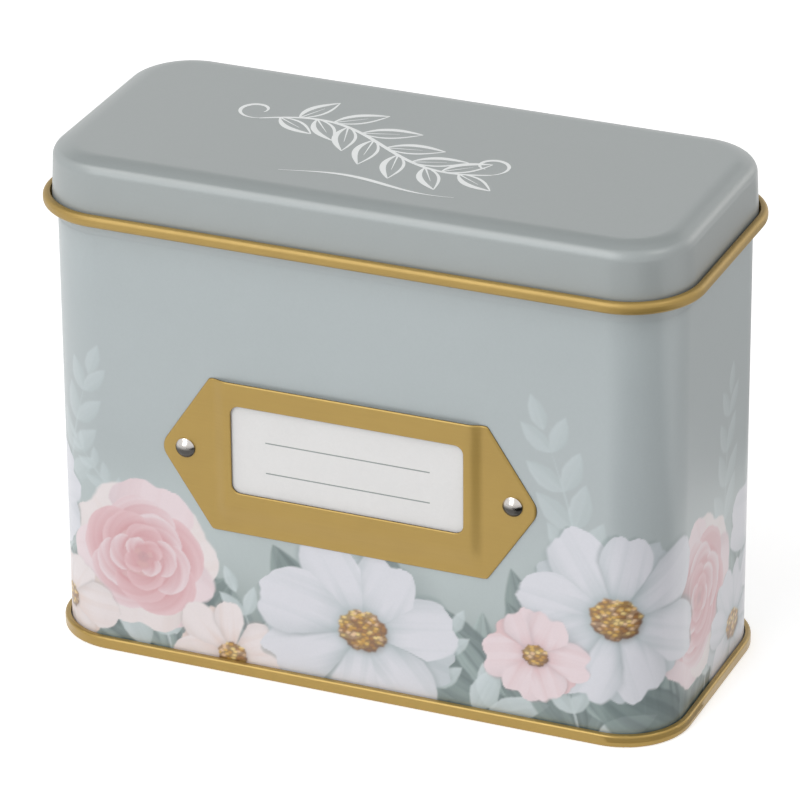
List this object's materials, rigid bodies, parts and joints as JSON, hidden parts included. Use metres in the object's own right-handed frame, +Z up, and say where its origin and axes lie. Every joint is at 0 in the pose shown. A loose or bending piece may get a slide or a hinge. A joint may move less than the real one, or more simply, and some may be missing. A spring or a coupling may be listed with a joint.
{
  "type": "hinged card tin",
  "caption": "Tall rounded-rectangle tinplate box for cards, with a hinged cap lid, a gold base and a riveted label holder on its front.",
  "frame": {"origin": "on the resting plane, under the middle of the box", "axes": "+X along the width, to the right as seen from the front; +Y from the front to the hinge; +Z up"},
  "size_m": [0.1504, 0.0698, 0.1165],
  "materials": {
    "body_print": "satin lacquer over a floral print",
    "lid_print": "satin lacquer, gold at the rim",
    "gold_base": "satin gold lacquer",
    "gold_holder": "satin gold",
    "wire": "drawn wire",
    "rivet": "nickel plated",
    "label_paper": "uncoated",
    "card_paper": "smooth, uncoated",
    "divider_board": "uncoated board"
  },
  "bodies": {
    "tin": {"body_wall": "body_print", "base_plate": "gold_base", "label_holder": "gold_holder", "rivet_left": "rivet", "rivet_right": "rivet", "card_group_1": "card_paper", "divider_1": "divider_board", "card_group_2": "card_paper", "divider_2": "divider_board", "card_group_3": "card_paper", "divider_3": "divider_board", "card_group_4": "card_paper", "divider_4": "divider_board", "card_group_5": "card_paper", "divider_5": "divider_board", "card_group_6": "card_paper", "divider_6": "divider_board"},
    "lid": {"lid": "lid_print", "hinge_wire": "wire"},
    "label": {"label_card": "label_paper"}
  },
  "joints": [
    {"name": "lid_hinge", "type": "hinge", "parent": "tin", "child": "lid", "pos_m": [0, 0.03378, 0.1036], "axis": [-1, 0, 0], "range_deg": [0, 110]},
    {"name": "label_slide", "type": "slide", "parent": "tin", "child": "label", "axis": [0, 0, 1], "range_m": [0, 0.03]}
  ]
}
